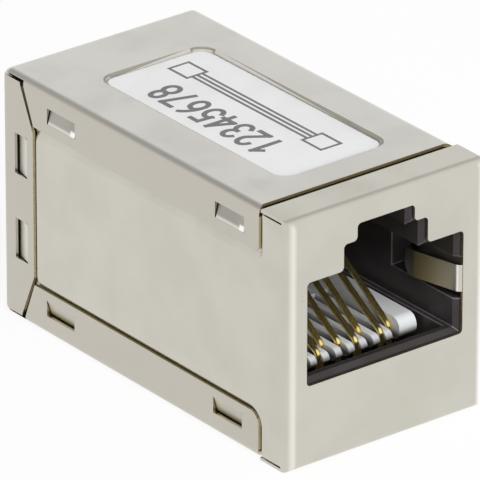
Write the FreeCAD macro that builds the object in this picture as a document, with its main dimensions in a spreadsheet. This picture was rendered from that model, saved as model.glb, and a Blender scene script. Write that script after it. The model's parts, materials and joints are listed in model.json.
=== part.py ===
import math
import os

import FreeCAD
import Part
import Sketcher

# Sizes in millimetres, each written once and read by every formula below
SIZES = (
    ("width", 15.7),
    ("height", 17.4),
    ("length", 30.0),
    ("gauge", 0.2),
    ("bend", 0.6),
    ("front_bend", 0.8),
    ("seam", 0.1),
    ("bite", 0.06),
    ("past", 0.8),
    ("lip_show", 3.45),
    ("flap_ahead", 0.35),
    ("lip_tuck", 2.0),
    ("slit", 0.12),
    ("lip_drop", 0.5),
    ("lip_groove", 0.1),
    ("lip_ease", 0.1),
    ("ramp", 0.45),
    ("groove_top", 0.17),
    ("tuck", 0.08),
    ("top_flap", 3.0),
    ("low_flap", 3.15),
    ("rear_flap", 3.4),
    ("mitre_gap", 0.24),
    ("mitre_lean", 1.15),
    ("corner_gap", 0.18),
    ("top_flap_round", 0.35),
    ("low_flap_round", 0.85),
    ("lance_long", 2.95),
    ("lance_tall", 1.1),
    ("lance_end", 6.25),
    ("lance_top_mid", -0.18),
    ("lance_top_set", 1.15),
    ("lance_low_set", 1.42),
    ("lance_rear_long", 2.85),
    ("lance_rear_wide", 1.3),
    ("lance_rear_set", 1.45),
    ("lance_rear_end", 5.675),
    ("lance_rear_up", 0.15),
    ("lance_press", 0.3),
    ("lance_kerf", 0.08),
    ("lance_room", 0.12),
    ("port_shift", 0.19),
    ("port_wall", 1.59),
    ("port_floor", 5.82),
    ("port_drop", 4.4),
    ("key_wide", 6.72),
    ("key_drop", 2.6),
    ("latch_wide", 4.58),
    ("latch_drop", 1.45),
    ("port_round", 0.3),
    ("finger_low", 8.7),
    ("finger_tall", 1.85),
    ("finger_lean", 0.9),
    ("finger_apex", 3.6),
    ("finger_reach", 4.7),
    ("finger_curl", 0.18),
    ("finger_round", 0.6),
    ("recess_wide", 8.8),
    ("recess_end", 5.375),
    ("recess_deep", 0.3),
    ("recess_lean", 0.14),
    ("recess_round", 1.2),
    ("recess_right", 0.32),
    ("recess_back", 0.22),
    ("recess_rim", 0.2),
    ("label_gap", 0.17),
    ("label_thick", 0.1),
    ("reveal", 0.35),
    ("lead_in", 0.3),
    ("house_gap", 0.05),
    ("cavity_deep", 12.0),
    ("front_wall", 0.75),
    ("chamber_wide", 11.0),
    ("chamber_roof", 6.3),
    ("pit_wide", 9.6),
    ("pit_floor", 1.5),
    ("slot_high", 2.9),
    ("slot_low", 8.15),
    ("slot_deep", 6.7),
    ("board_low", 2.6),
    ("board_thick", 1.0),
    ("board_wide", 10.4),
    ("board_set", 2.2),
    ("comb_wide", 10.4),
    ("comb_top", 6.2),
    ("nose_set", 3.25),
    ("nose_thick", 1.56),
    ("nose_round", 0.75),
    ("comb_leg", 5.6),
    ("comb_end", 11.9),
    ("comb_cut", 0.5),
    ("comb_sink", 0.65),
    ("tooth_round", 0.5),
    ("comb_cut_end", 10.6),
    ("wire", 0.42),
    ("wire_room", 0.04),
    ("pitch", 1.016),
    ("tail_low", 1.85),
    ("wire_bend", 0.5),
    ("bend_high", 5.62),
    ("row_mid", 4.06),
    ("row_fore", 3.57),
    ("row_aft", 4.55),
    ("tip_set", 11.2),
    ("tip_high", 10.3),
)

# Two lengths closer than this are the same
CLOSE = 1e-4

# Point places on sketch geometry
START = 1
FINISH = 2
MIDDLE = 3
ORIGIN = -1

# Wires in one port
WIRES = 8

doc = FreeCAD.newDocument("coupler")
sheet = doc.addObject("Spreadsheet::Sheet", "Sizes")
for row, (alias, number) in enumerate(SIZES, start=1):
    sheet.set("A%d" % row, alias)
    sheet.set("B%d" % row, str(number))
    sheet.setAlias("B%d" % row, alias)
doc.recompute()


class Size:
    """A length that carries both its number and its sheet formula."""

    def __init__(self, value, text):
        self.value = float(value)
        self.text = text

    def join(self, other, sign, value):
        return Size(value, "(%s %s %s)" % (self.text, sign, other.text))

    def __add__(self, other):
        other = as_size(other)
        return self.join(other, "+", self.value + other.value)

    def __sub__(self, other):
        other = as_size(other)
        return self.join(other, "-", self.value - other.value)

    def __mul__(self, other):
        other = as_size(other)
        return self.join(other, "*", self.value * other.value)

    def __truediv__(self, other):
        other = as_size(other)
        return self.join(other, "/", self.value / other.value)

    def __neg__(self):
        return Size(-self.value, "(0 - %s)" % self.text)


def as_size(thing):
    """Turns a plain number into a Size."""
    if isinstance(thing, Size):
        return thing
    return Size(thing, "%g" % thing if thing >= 0 else "(0 - %g)" % -thing)


def size(alias):
    """Reads one sheet cell."""
    return Size(sheet.get(alias), "Sizes.%s" % alias)


def wall_taper(run, rise):
    """Taper in degrees of a wall that leans by run over its rise."""
    angle = math.degrees(math.atan2(run.value, rise.value))
    return Size(-angle, "-1 * atan(%s / %s)" % (run.text, rise.text))


ZERO = as_size(0)
half = size("width") / 2
tall = size("height")
end = size("length") / 2
gauge = size("gauge")
bend = size("bend")
front_bend = size("front_bend")
seam = size("seam")
bite = size("bite")
past = size("past")
shift = size("port_shift")
port_half = half - size("port_wall")
lance_reach = end - size("lance_end")
recess_half = end - size("recess_end")
panel_front = size("lip_show") - size("flap_ahead") - end
panel_side = half - gauge - seam


def sketch(body, name, role, loops, lift=None):
    """Draws closed loops on one of the body's own origin planes."""
    sk = body.newObject("Sketcher::SketchObject", name)
    plane = [f for f in body.Origin.OriginFeatures if f.Role == role][0]
    sk.AttachmentSupport = [(plane, "")]
    sk.MapMode = "FlatFace"
    if lift is not None:
        sk.setExpression("AttachmentOffset.Base.z", lift.text)
    for loop in loops:
        if loop[0] == "circle":
            draw_circle(sk, *loop[1:])
        else:
            draw_loop(sk, loop)
    return sk


def pin(sk, geo, pos, u, v):
    """Fixes one sketch point at a place given by two formulas."""
    for kind, where in (("DistanceX", u), ("DistanceY", v)):
        k = sk.addConstraint(Sketcher.Constraint(kind, ORIGIN, START, geo, pos, where.value))
        sk.setExpression("Constraints[%d]" % k, where.text)


def draw_circle(sk, u, v, radius):
    """Adds one circle with its centre and radius tied to the sheet."""
    centre = FreeCAD.Vector(u.value, v.value, 0)
    geo = sk.addGeometry(Part.Circle(centre, FreeCAD.Vector(0, 0, 1), radius.value))
    pin(sk, geo, MIDDLE, u, v)
    k = sk.addConstraint(Sketcher.Constraint("Radius", geo, radius.value))
    sk.setExpression("Constraints[%d]" % k, radius.text)


def corner(points, i, radius):
    """Finds where a rounding of this radius touches the two lines at corner i."""
    here = points[i]
    to_prev = (points[i - 1] - here).normalize()
    to_next = (points[(i + 1) % len(points)] - here).normalize()
    angle = to_prev.getAngle(to_next)
    run = radius / math.tan(angle / 2)
    centre = here + (to_prev + to_next).normalize() * (radius / math.sin(angle / 2))
    turn = to_prev.cross(to_next).z
    return here + to_prev * run, here + to_next * run, centre, turn


def draw_loop(sk, corners, closed=True):
    """Draws a polygon whose corners are (u, v) or, when rounded, (u, v, radius)."""
    count = len(corners)
    points = [FreeCAD.Vector(c[0].value, c[1].value, 0) for c in corners]
    enter = list(points)
    leave = list(points)
    arcs = {}
    for i, c in enumerate(corners):
        if len(c) == 3:
            enter[i], leave[i], centre, turn = corner(points, i, c[2].value)
            arcs[i] = (centre, turn)
    lines = []
    for i in range(count if closed else count - 1):
        lines.append(sk.addGeometry(Part.LineSegment(leave[i], enter[(i + 1) % count])))
    for i, c in enumerate(corners):
        if not closed and i in (0, count - 1):
            line, spot = (lines[0], START) if i == 0 else (lines[-1], FINISH)
            pin(sk, line, spot, c[0], c[1])
            continue
        before = lines[i - 1]
        after = lines[i]
        if i not in arcs:
            sk.addConstraint(Sketcher.Constraint("Coincident", before, FINISH, after, START))
            pin(sk, after, START, c[0], c[1])
            continue
        centre, turn = arcs[i]
        first, last = (enter[i], leave[i]) if turn < 0 else (leave[i], enter[i])
        circle = Part.Circle(centre, FreeCAD.Vector(0, 0, 1), c[2].value)
        start = math.atan2(first.y - centre.y, first.x - centre.x)
        stop = math.atan2(last.y - centre.y, last.x - centre.x)
        if stop < start:
            stop += 2 * math.pi
        arc = sk.addGeometry(Part.ArcOfCircle(circle, start, stop))
        first_end, last_end = (START, FINISH) if turn < 0 else (FINISH, START)
        sk.addConstraint(Sketcher.Constraint("Tangent", before, FINISH, arc, first_end))
        sk.addConstraint(Sketcher.Constraint("Tangent", arc, last_end, after, START))
        k = sk.addConstraint(Sketcher.Constraint("Radius", arc, c[2].value))
        sk.setExpression("Constraints[%d]" % k, c[2].text)
        dot = sk.addGeometry(Part.Point(points[i]), True)
        sk.addConstraint(Sketcher.Constraint("PointOnObject", dot, START, before))
        sk.addConstraint(Sketcher.Constraint("PointOnObject", dot, START, after))
        pin(sk, dot, START, c[0], c[1])


def rect(u0, u1, v0, v1, radius=None):
    """Four corners of an upright rectangle."""
    extra = () if radius is None else (radius,)
    return [(u0, v0) + extra, (u1, v0) + extra, (u1, v1) + extra, (u0, v1) + extra]


def pad(body, name, sk, long, back=False, mid=False, taper=None):
    """Adds material along the sketch's normal."""
    f = body.newObject("PartDesign::Pad", name)
    f.Profile = sk
    f.setExpression("Length", long.text)
    f.Reversed = back
    f.Midplane = mid
    if taper is not None:
        f.setExpression("TaperAngle", taper.text)
    sk.Visibility = False
    doc.recompute()
    return f


def pocket(body, name, sk, deep=None, back=False, mid=False, taper=None):
    """Removes material against the sketch's normal, right through when no depth is given."""
    f = body.newObject("PartDesign::Pocket", name)
    f.Profile = sk
    if deep is None:
        f.Type = 1
    else:
        f.setExpression("Length", deep.text)
    f.Reversed = back
    f.Midplane = mid
    if taper is not None:
        f.setExpression("TaperAngle", taper.text)
    sk.Visibility = False
    doc.recompute()
    return f


def pick(shape, kind, test):
    """Names the edges or faces of a shape that pass a test."""
    things = shape.Edges if kind == "Edge" else shape.Faces
    return ["%s%d" % (kind, i) for i, t in enumerate(things, start=1) if test(t)]


def near(a, b):
    """True when two lengths agree."""
    return abs(a - b) < CLOSE


def flat_at(edge, axis, where):
    """True when both ends of an edge lie on one plane."""
    return all(near(tuple(v.Point)[axis], where) for v in edge.Vertexes)


def runs(edge, axis):
    """True when an edge is a line along one axis."""
    ends = [tuple(v.Point) for v in edge.Vertexes]
    return len(ends) == 2 and all(near(ends[0][k], ends[1][k]) for k in range(3) if k != axis)


def dress(body, kind, name, base, names, prop, value):
    """Adds a fillet, chamfer or thickness to named edges or faces."""
    f = body.newObject("PartDesign::%s" % kind, name)
    f.Base = (base, names)
    f.setExpression(prop, value.text)
    if kind == "Thickness":
        f.Reversed = True
        f.Mode = 0
        f.Join = 0
    doc.recompute()
    return f


def new_body(label):
    """Starts one sub-part."""
    body = doc.addObject("PartDesign::Body", label)
    body.Label = label
    return body


def turned(body, rear):
    """Turns a sub-part half round the upright axis for the rear port."""
    if rear:
        half_turn = FreeCAD.Rotation(FreeCAD.Vector(0, 0, 1), 180)
        body.Placement = FreeCAD.Placement(FreeCAD.Vector(), half_turn)


# Outlines that the front and rear ports share
def port_loop(way, inset, rounding=None):
    """Stepped socket outline in X and Z, way is 1 at the front and -1 at the rear."""
    mid = -shift if way > 0 else shift
    body_w = port_half - inset
    key_w = size("key_wide") / 2 - inset
    latch_w = size("latch_wide") / 2 - inset
    floor = size("port_floor") + inset
    body_z = tall - size("port_drop") - inset
    key_z = tall - size("key_drop") - inset
    latch_z = tall - size("latch_drop") - inset
    right = [(body_w, floor), (body_w, body_z), (key_w, body_z)]
    right += [(key_w, key_z), (latch_w, key_z), (latch_w, latch_z)]
    extra = () if rounding is None else (rounding,)
    loop = [(mid + u, v) + extra for u, v in right]
    loop += [(mid - u, v) + extra for u, v in reversed(right)]
    return loop


def finger_loops(way):
    """Two ground fingers folded in from the sides of a port, in X and Y."""
    loops = []
    for side in (1, -1):
        root = port_half + bend
        bow = port_half - gauge
        apex = bow - size("finger_lean")
        tip = apex + size("finger_curl")
        y_front = -end
        y_apex = size("finger_apex") - end
        y_tip = size("finger_reach") - end
        run = [
            (root, y_front),
            (bow, y_front, bend),
            (apex, y_apex),
            (tip, y_tip),
            (tip + gauge, y_tip),
            (apex + gauge, y_apex),
            (bow + gauge, y_front + gauge, bend - gauge),
            (root, y_front + gauge),
        ]
        loop = []
        for c in run:
            u = -shift + c[0] if side > 0 else -shift - c[0]
            v = c[1]
            if way < 0:
                u = -u
                v = -v
            loop.append((u, v) + tuple(c[2:]))
        loops.append(loop)
    return loops


def add_port(body, way, y_name):
    """Cuts the socket in a plate and folds its two ground fingers in."""
    lift = end if way > 0 else -end
    outline = port_loop(way, ZERO, size("port_round"))
    sk = sketch(body, y_name + "_port_sketch", "XZ_Plane", [outline], lift)
    pocket(body, y_name + "_port", sk, bend, back=way < 0)
    sk = sketch(body, y_name + "_finger_sketch", "XY_Plane", finger_loops(way), size("finger_low"))
    f = pad(body, y_name + "_fingers", sk, size("finger_tall"))
    y_tip = (size("finger_reach") - end).value * way
    ends = pick(f.Shape, "Edge", lambda e: runs(e, 0) and flat_at(e, 1, y_tip))
    dress(body, "Fillet", y_name + "_finger_round", f, ends, "Radius", size("finger_round"))


def rear_lance_z(way):
    """Height of the upper or lower lance of a rear flap."""
    return tall / 2 + size("lance_rear_up") + (tall / 2 - size("lance_rear_end")) * way


def lance_rects(room):
    """Six lance windows in one side, in Y and Z."""
    long = size("lance_long") / 2 + room
    loops = []
    for way in (-1, 1):
        reach = lance_reach * way
        y_top = size("lance_top_mid") + reach
        z_top = tall - size("lance_top_set")
        z_root = z_top - size("lance_tall")
        loops.append(rect(y_top - long, y_top + long, z_root - room, z_top + room))
        z_low = size("lance_low_set")
        z_root = z_low + size("lance_tall")
        loops.append(rect(reach - long, reach + long, z_low - room, z_root + room))
        z_mid = rear_lance_z(way)
        deep = size("lance_rear_long") / 2 + room
        y_rear = end - size("lance_rear_set")
        y_root = y_rear - size("lance_rear_wide")
        loops.append(rect(y_root - room, y_rear + room, z_mid - deep, z_mid + deep))
    return loops


# Front shell: one folded sheet with the front port, side panels and tucked lips
def build_front_shell():
    body = new_body("front_shell")
    sk = sketch(body, "tray_sketch", "XZ_Plane", [rect(-half, half, ZERO, tall)], end)
    tray_deep = size("lip_show") - size("lip_groove") - size("ramp")
    tray = pad(body, "tray", sk, tray_deep, back=True)
    front = pick(tray.Shape, "Edge", lambda e: flat_at(e, 1, -end.value))
    tray = dress(body, "Fillet", "tray_bends", tray, front, "Radius", front_bend)
    y_open = (tray_deep - end).value
    back = pick(tray.Shape, "Face", lambda f: near(f.CenterOfMass.y, y_open))
    tray = dress(body, "Thickness", "tray_sheet", tray, back, "Value", gauge)
    # Slits that part the side walls from the lips above and below them
    slit = size("slit")
    lip_half = half - gauge - slit
    z_wall = gauge + slit
    y_slit = front_bend + bite - end
    y_rear = tray_deep - end + past
    y_step = panel_front + size("tuck")
    y_wall = y_step - size("ramp")
    slits = [
        (y_slit, gauge),
        (y_rear, gauge),
        (y_rear, tall - gauge),
        (y_slit, tall - gauge),
        (y_slit, tall - z_wall),
        (y_wall, tall - z_wall),
        (y_wall, z_wall),
        (y_slit, z_wall),
    ]
    sk = sketch(body, "slit_sketch", "YZ_Plane", [slits])
    pocket(body, "slits", sk, mid=True)
    # Lips stepped down to tuck under the outer sheet
    drop = size("lip_drop")
    y0 = front_bend + past - end
    y1 = tray_deep - end
    y2 = y1 + size("ramp")
    y3 = panel_front + size("lip_tuck")
    ease = size("lip_ease")
    inside = tall - gauge
    top = [(y0, tall), (y1, tall), (y2, tall - drop), (y3, tall - drop)]
    top += [(y3, inside - drop), (y2 - ease, inside - drop), (y1 - ease, inside), (y0, inside)]
    low = [(y, tall - z) for y, z in top]
    sk = sketch(body, "lip_sketch", "YZ_Plane", [top, low])
    pad(body, "lips", sk, lip_half * 2, mid=True)
    # Side panels: a sunk border under the flaps round a raised middle
    sunk = gauge + seam
    z_low = size("low_flap") - size("tuck")
    z_high = tall - size("top_flap") - size("groove_top")
    y_back = end - size("rear_flap") + size("tuck")
    low_round = size("low_flap_round")
    top_round = size("top_flap_round")
    rear_round = top_round + size("ramp")
    raised = [
        (y0, z_wall),
        (y_step, z_wall),
        (y_step, z_low, low_round),
        (y_back, z_low, rear_round),
        (y_back, z_high, rear_round),
        (y_step, z_high, top_round),
        (y_step, tall - z_wall),
        (y0, tall - z_wall),
    ]
    border = size("ramp") * 2
    y_panel = end - bend - size("house_gap") * 2
    for side in (1, -1):
        tag = "right" if side > 0 else "left"
        sheet_loop = rect(y_step - border, y_panel, bend, tall - bend)
        lift = panel_side if side > 0 else -panel_side
        sk = sketch(body, tag + "_panel_sketch", "YZ_Plane", [sheet_loop], lift)
        pad(body, tag + "_panel", sk, gauge, back=side > 0)
        sk = sketch(body, tag + "_raised_sketch", "YZ_Plane", [raised], lift)
        slope = wall_taper(size("ramp"), sunk)
        pad(body, tag + "_raised", sk, sunk, back=side < 0, taper=slope)
        hollow = rect(y0 - bite, y_back - border, z_low + border, z_high - border)
        inner = panel_side - gauge
        lift = inner if side > 0 else -inner
        cuts = [hollow] + lance_rects(size("lance_room"))
        sk = sketch(body, tag + "_hollow_sketch", "YZ_Plane", cuts, lift)
        pocket(body, tag + "_hollow", sk, sunk, back=side > 0)
    add_port(body, 1, "front")
    return body


# Rear shell: one folded sheet with the top, rear port, bottom and side flaps
def build_rear_shell():
    body = new_body("rear_shell")
    sk = sketch(body, "case_sketch", "XZ_Plane", [rect(-half, half, ZERO, tall)], -panel_front)
    case = pad(body, "case", sk, end - panel_front, back=True)
    rear = end.value
    edges = pick(case.Shape, "Edge", lambda e: runs(e, 1) or flat_at(e, 1, rear))
    case = dress(body, "Fillet", "case_bends", case, edges, "Radius", bend)
    inner_bend = bend - gauge
    room = rect(gauge - half, half - gauge, gauge, tall - gauge, inner_bend + bite)
    sk = sketch(body, "inside_sketch", "XZ_Plane", [room], -panel_front)
    case = pocket(body, "inside", sk, end - panel_front - gauge)
    wall = (end - gauge).value
    edges = pick(case.Shape, "Edge", lambda e: flat_at(e, 1, wall))
    dress(body, "Fillet", "inside_bends", case, edges, "Radius", inner_bend)
    # Side cut between the flaps with mitred slits and lance windows
    y_off = panel_front - past
    low = size("low_flap")
    high = tall - size("top_flap")
    low_round = size("low_flap_round")
    top_round = size("top_flap_round")
    y_flap = end - size("rear_flap")
    lean = size("mitre_lean")
    gap = size("mitre_gap")
    y_out = end + past
    edge_low = gauge + size("corner_gap")
    edge_high = tall - gauge - size("corner_gap")
    window = [
        (y_off, low - low_round * 2),
        (panel_front, low - low_round * 2),
        (panel_front, low, low_round),
        (y_flap - bite, low),
        (y_flap - bite + lean, gauge),
        (y_out, gauge),
        (y_out, edge_low),
        (y_flap + lean + gap, edge_low),
        (y_flap, low + gap * 2),
        (y_flap, high - gap * 2),
        (y_flap + lean + gap, edge_high),
        (y_out, edge_high),
        (y_out, tall - gauge),
        (y_flap - bite + lean, tall - gauge),
        (y_flap - bite, high),
        (panel_front, high, top_round),
        (panel_front, high + top_round * 2),
        (y_off, high + top_round * 2),
    ]
    for side in (1, -1):
        tag = "right" if side > 0 else "left"
        lift = half if side > 0 else -half
        sk = sketch(body, tag + "_cut_sketch", "YZ_Plane", [window] + lance_rects(ZERO), lift)
        pocket(body, tag + "_cut", sk, bend + bite, back=side < 0)
    # Top and bottom edges set back from the flaps beside them
    y_edge = panel_front + size("flap_ahead")
    x_edge = half - bend
    before = [
        (-half, y_off),
        (half, y_off),
        (half, panel_front),
        (x_edge, y_edge),
        (-x_edge, y_edge),
        (-half, panel_front),
    ]
    for z_end, tag in ((ZERO, "low"), (tall, "top")):
        sk = sketch(body, tag + "_edge_sketch", "XY_Plane", [before], z_end)
        pocket(body, tag + "_edge", sk, bend, back=tag == "low")
    add_lances(body)
    # Label recess pressed into the top
    wide = size("recess_wide") / 2
    long = recess_half
    x_mid = size("recess_right")
    y_mid = size("recess_back")
    rim = size("recess_rim")
    deep = size("recess_deep")
    turn = size("recess_round")
    out_x = wide + rim
    out_y = long + rim
    under = rect(x_mid - out_x, x_mid + out_x, y_mid - out_y, y_mid + out_y, turn + rim)
    sk = sketch(body, "under_sketch", "XY_Plane", [under], tall - gauge)
    pad(body, "under", sk, deep, back=True)
    over = rect(x_mid - wide, x_mid + wide, y_mid - long, y_mid + long, turn)
    sk = sketch(body, "recess_sketch", "XY_Plane", [over], tall)
    pocket(body, "recess", sk, deep, taper=wall_taper(size("recess_lean"), deep))
    add_port(body, -1, "rear")
    return body


def add_lances(body):
    """Adds the pressed-in tabs inside the lance windows of the flaps."""
    press = size("lance_press")
    kerf = size("lance_kerf")
    long = size("lance_long") - kerf * 2
    top_free = tall - size("lance_top_set") - kerf
    top_root = tall - size("lance_top_set") - size("lance_tall") - bite
    low_free = size("lance_low_set") + kerf
    low_root = size("lance_low_set") + size("lance_tall") + bite
    tops = []
    lows = []
    for side in (1, -1):
        for root, free, group in ((top_root, top_free, tops), (low_root, low_free, lows)):
            tab = [(half, root), (half - press, free), (half - press - gauge, free), (half - gauge, root)]
            group.append([(u if side > 0 else -u, v) for u, v in tab])
    for way, tag in ((-1, "fore"), (1, "aft")):
        reach = lance_reach * way
        for group, mid, level in ((tops, size("lance_top_mid"), "top"), (lows, ZERO, "low")):
            name = "%s_%s_lance" % (level, tag)
            sk = sketch(body, name + "_sketch", "XZ_Plane", group, -(reach + mid))
            pad(body, name, sk, long, mid=True)
    root = end - size("lance_rear_set") - size("lance_rear_wide") - bite
    free = end - size("lance_rear_set") - kerf
    tabs = []
    for side in (1, -1):
        tab = [(half, root), (half - press, free), (half - press - gauge, free), (half - gauge, root)]
        tabs.append([(u if side > 0 else -u, v) for u, v in tab])
    for way, tag in ((-1, "low"), (1, "high")):
        z_mid = rear_lance_z(way)
        sk = sketch(body, "rear_%s_lance_sketch" % tag, "XY_Plane", tabs, z_mid)
        pad(body, "rear_%s_lance" % tag, sk, size("lance_rear_long") - kerf * 2, mid=True)


# Label: paper laid on the recess floor
def build_label():
    body = new_body("label")
    slack = size("label_gap") + size("recess_lean")
    wide = size("recess_wide") / 2 - slack
    long = recess_half - slack
    x_mid = size("recess_right")
    y_mid = size("recess_back")
    turn = size("recess_round") - slack
    loop = rect(x_mid - wide, x_mid + wide, y_mid - long, y_mid + long, turn)
    sk = sketch(body, "label_sketch", "XY_Plane", [loop], tall - size("recess_deep"))
    pad(body, "label_sheet", sk, size("label_thick"))
    return body


# Housing: moulded socket half with the plug cavity, board chamber and finger slots
def build_housing(label, rear):
    body = new_body(label)
    side = panel_side - gauge - size("house_gap")
    low = size("lip_drop") + gauge + size("house_gap")
    y_face = gauge + seam - end
    y_mid = -size("house_gap")
    sk = sketch(body, label + "_block_sketch", "XZ_Plane", [rect(-side, side, low, tall - low)], -y_face)
    pad(body, label + "_block", sk, y_mid - y_face, back=True)
    sk = sketch(body, label + "_cavity_sketch", "XZ_Plane", [port_loop(1, size("reveal"))], -y_face)
    cavity = pocket(body, label + "_cavity", sk, size("cavity_deep") - end - y_face)

    def mouth(edge):
        outer = any(near(abs(v.Point.x), side.value) for v in edge.Vertexes)
        return flat_at(edge, 1, y_face.value) and not outer

    edges = pick(cavity.Shape, "Edge", mouth)
    dress(body, "Chamfer", label + "_lead_in", cavity, edges, "Size", size("lead_in"))
    reach = -y_face - size("front_wall") + y_mid
    wide = size("chamber_wide") / 2
    room = rect(-shift - wide, wide - shift, size("board_low"), size("chamber_roof"))
    sk = sketch(body, label + "_chamber_sketch", "XZ_Plane", [room], -y_mid)
    pocket(body, label + "_chamber", sk, reach, back=True)
    wide = size("pit_wide") / 2
    room = rect(-shift - wide, wide - shift, size("pit_floor"), size("board_low") + bite)
    sk = sketch(body, label + "_pit_sketch", "XZ_Plane", [room], -y_mid)
    pocket(body, label + "_pit", sk, reach, back=True)
    slot_top = size("slot_low") + size("slot_high")
    slot = rect(y_face - past, size("slot_deep") - end, size("slot_low"), slot_top)
    sk = sketch(body, label + "_slot_sketch", "YZ_Plane", [slot], -half)
    pocket(body, label + "_slots", sk, half * 2, back=True)
    turned(body, rear)
    return body


# Depth of each wire's drop behind the front face, counted from the right of the front port
ROWS = ("row_mid", "row_fore", "row_aft", "row_fore", "row_mid", "row_aft", "row_fore", "row_mid")


def wire_x(number):
    """Sideways place of one wire about the middle of its port."""
    return size("pitch") * ((WIRES + 1) / 2 - number)


# Contact carrier: white comb with a rounded nose that the spring wires pass through
def build_carrier(label, rear):
    body = new_body(label)
    top = size("comb_top")
    y_nose = size("nose_set") - end
    y_leg = size("comb_leg") - end
    y_back = size("comb_end") - end
    under = top - size("nose_thick")
    seat = size("board_low") + size("board_thick")
    turn = size("nose_round")
    side = [(y_nose, under, turn), (y_leg, under), (y_leg, seat)]
    side += [(y_back, seat), (y_back, top), (y_nose, top, turn)]
    sk = sketch(body, label + "_side_sketch", "YZ_Plane", [side])
    pad(body, label + "_block", sk, size("comb_wide"), mid=True)
    # Teeth lower than the two end blocks, so that every wire's bend lies open
    z_teeth = top - size("comb_sink")
    y_teeth = y_nose + bite
    above = [(y_nose - past, top + past), (y_back + past, top + past), (y_back + past, z_teeth)]
    above += [(y_teeth, z_teeth, size("tooth_round")), (y_teeth, under), (y_nose - past, under)]
    sk = sketch(body, label + "_teeth_sketch", "YZ_Plane", [above])
    pocket(body, label + "_teeth", sk, size("pitch") * (WIRES - 1) + size("comb_cut"), mid=True)
    first = wire_x(WIRES)
    cut = size("comb_cut") / 2
    slot = rect(first - cut, first + cut, y_nose - past, size("comb_cut_end") - end)
    sk = sketch(body, label + "_slot_sketch", "XY_Plane", [slot], top)
    one = pocket(body, label + "_slot", sk, size("nose_thick") + bite)
    row = body.newObject("PartDesign::LinearPattern", label + "_slots")
    row.Originals = [one]
    axis = [f for f in body.Origin.OriginFeatures if f.Role == "X_Axis"][0]
    row.Direction = (axis, [""])
    row.setExpression("Length", (size("pitch") * (WIRES - 1)).text)
    row.Occurrences = WIRES
    body.Tip = row
    turned(body, rear)
    body.setExpression("Placement.Base.x", (shift if rear else -shift).text)
    doc.recompute()
    return body


# Circuit board: joins the two rows of wires
def build_board():
    body = new_body("circuit_board")
    wide = size("board_wide") / 2
    long = end - size("board_set")
    hole = size("wire") / 2 + size("wire_room")
    loops = [rect(-wide, wide, -long, long)]
    for number, row in enumerate(ROWS, start=1):
        x = wire_x(number) - shift
        y = size(row) - end
        loops.append(("circle", x, y, hole))
        loops.append(("circle", -x, -y, hole))
    sk = sketch(body, "board_sketch", "XY_Plane", loops, size("board_low"))
    pad(body, "board", sk, size("board_thick"))
    return body


# Contact: round spring wire from its board tail up round the nose to its tip
def build_contact(label, number, rear):
    body = new_body(label)
    y_row = size(ROWS[number - 1]) - end
    path = [
        (y_row, size("tail_low")),
        (y_row, size("bend_high"), size("wire_bend")),
        (size("tip_set") - end, size("tip_high")),
    ]
    spine = sketch(body, label + "_path", "YZ_Plane", [])
    draw_loop(spine, path, closed=False)
    section = ("circle", ZERO, y_row, size("wire") / 2)
    ring = sketch(body, label + "_ring", "XY_Plane", [section], size("tail_low"))
    doc.recompute()
    pipe = body.newObject("PartDesign::AdditivePipe", label + "_wire")
    pipe.Profile = ring
    pipe.Spine = (spine, ["Edge%d" % (i + 1) for i in range(len(spine.Shape.Edges))])
    spine.Visibility = False
    ring.Visibility = False
    turned(body, rear)
    x = wire_x(number) - shift
    body.setExpression("Placement.Base.x", (-x if rear else x).text)
    doc.recompute()
    return body


parts = [build_front_shell(), build_rear_shell(), build_label()]
for rear, end_name in ((False, "front"), (True, "rear")):
    parts.append(build_housing(end_name + "_housing", rear))
    parts.append(build_carrier(end_name + "_contact_carrier", rear))
parts.append(build_board())
for rear, end_name in ((False, "front"), (True, "rear")):
    for number in range(1, WIRES + 1):
        parts.append(build_contact("%s_contact_%d" % (end_name, number), number, rear))
doc.recompute()

for thing in doc.Objects:
    if "Invalid" in thing.State or "Error" in thing.State:
        raise RuntimeError("%s did not compute: %s" % (thing.Name, thing.State))
os.makedirs("parts", exist_ok=True)
for part in parts:
    shape = part.Shape
    if shape.isNull() or not shape.isValid() or len(shape.Solids) != 1:
        raise RuntimeError("%s has a bad shape with %d solids" % (part.Label, len(shape.Solids)))
    shape.exportStep("parts/%s.step" % part.Label)
    box = shape.BoundBox
    span = (box.XMin, box.XMax, box.YMin, box.YMax, box.ZMin, box.ZMax)
    print(part.Label, "%.3f mm3" % shape.Volume, "box", ["%.2f" % v for v in span])
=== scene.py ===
"""Dresses the inline network coupler: sheet case, label, sockets, wires and studio."""

import json
import logging
import math
from dataclasses import dataclass
from enum import Enum, IntEnum
from functools import cached_property
from typing import Union

import bpy
import numpy as np
from mathutils import Matrix, Vector

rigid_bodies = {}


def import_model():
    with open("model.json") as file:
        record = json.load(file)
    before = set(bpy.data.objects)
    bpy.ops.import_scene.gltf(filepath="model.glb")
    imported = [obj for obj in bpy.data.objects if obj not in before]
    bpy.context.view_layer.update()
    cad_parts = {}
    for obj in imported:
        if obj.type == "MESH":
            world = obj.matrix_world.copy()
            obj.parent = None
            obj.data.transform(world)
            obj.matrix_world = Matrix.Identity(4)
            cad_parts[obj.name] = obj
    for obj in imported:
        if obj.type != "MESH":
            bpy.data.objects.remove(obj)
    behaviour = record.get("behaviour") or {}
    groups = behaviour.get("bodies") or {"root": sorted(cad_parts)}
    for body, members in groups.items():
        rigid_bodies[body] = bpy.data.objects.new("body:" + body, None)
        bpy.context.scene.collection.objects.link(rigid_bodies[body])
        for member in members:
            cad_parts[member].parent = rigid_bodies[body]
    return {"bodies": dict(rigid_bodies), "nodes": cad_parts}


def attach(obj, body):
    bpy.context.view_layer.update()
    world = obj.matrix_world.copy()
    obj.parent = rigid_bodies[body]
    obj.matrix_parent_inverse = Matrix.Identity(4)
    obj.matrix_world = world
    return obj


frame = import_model()

log = logging.getLogger("coupler")

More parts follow.
